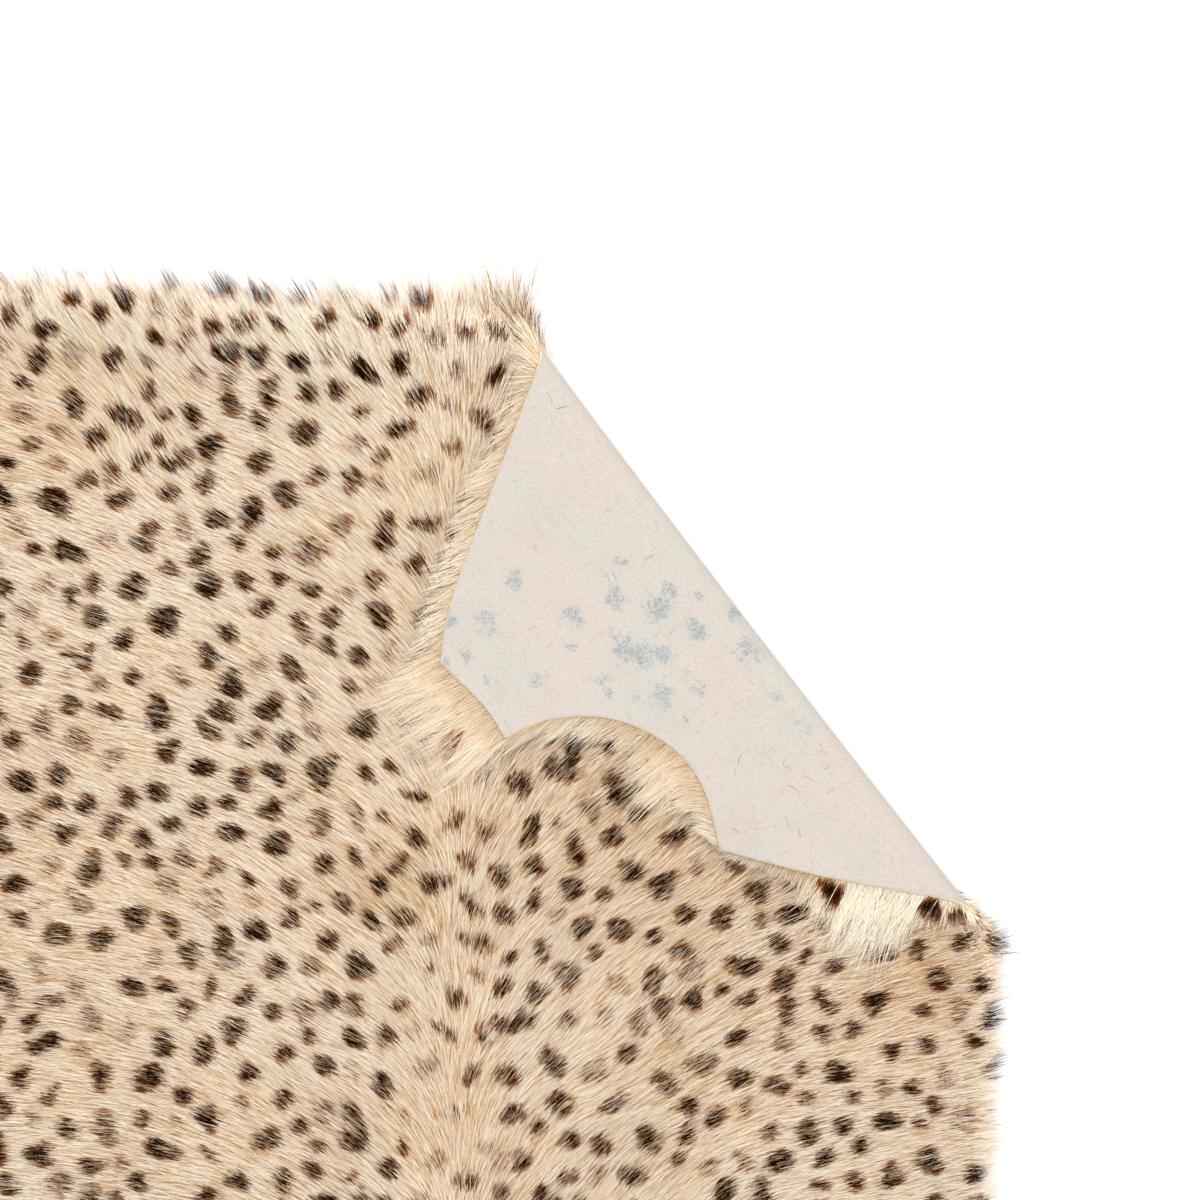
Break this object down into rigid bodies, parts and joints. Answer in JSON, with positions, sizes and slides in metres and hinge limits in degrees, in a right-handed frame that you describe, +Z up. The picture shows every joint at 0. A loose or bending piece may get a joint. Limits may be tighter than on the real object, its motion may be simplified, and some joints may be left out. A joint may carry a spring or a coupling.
{
  "type": "folded goatskin rug",
  "caption": "Hair-on goatskin rug with a dark-spotted hair side, lying flat with one hind corner turned back to show its pale napped flesh side.",
  "frame": {"origin": "middle of the rug's box, on the surface it lies on", "axes": "+Y from neck to rump along the back, +X to the right seen from above the hair side, +Z up"},
  "size_m": [0.6742, 0.9621, 0.024],
  "materials": {
    "hair_side": "straight lying hair, cream with dark brown printed spots, soft sheen",
    "flesh_side": "napped off-white leather with faint blue-grey show-through of the print"
  },
  "bodies": {
    "root": {"goatskin": "hair_side"}
  },
  "joints": []
}
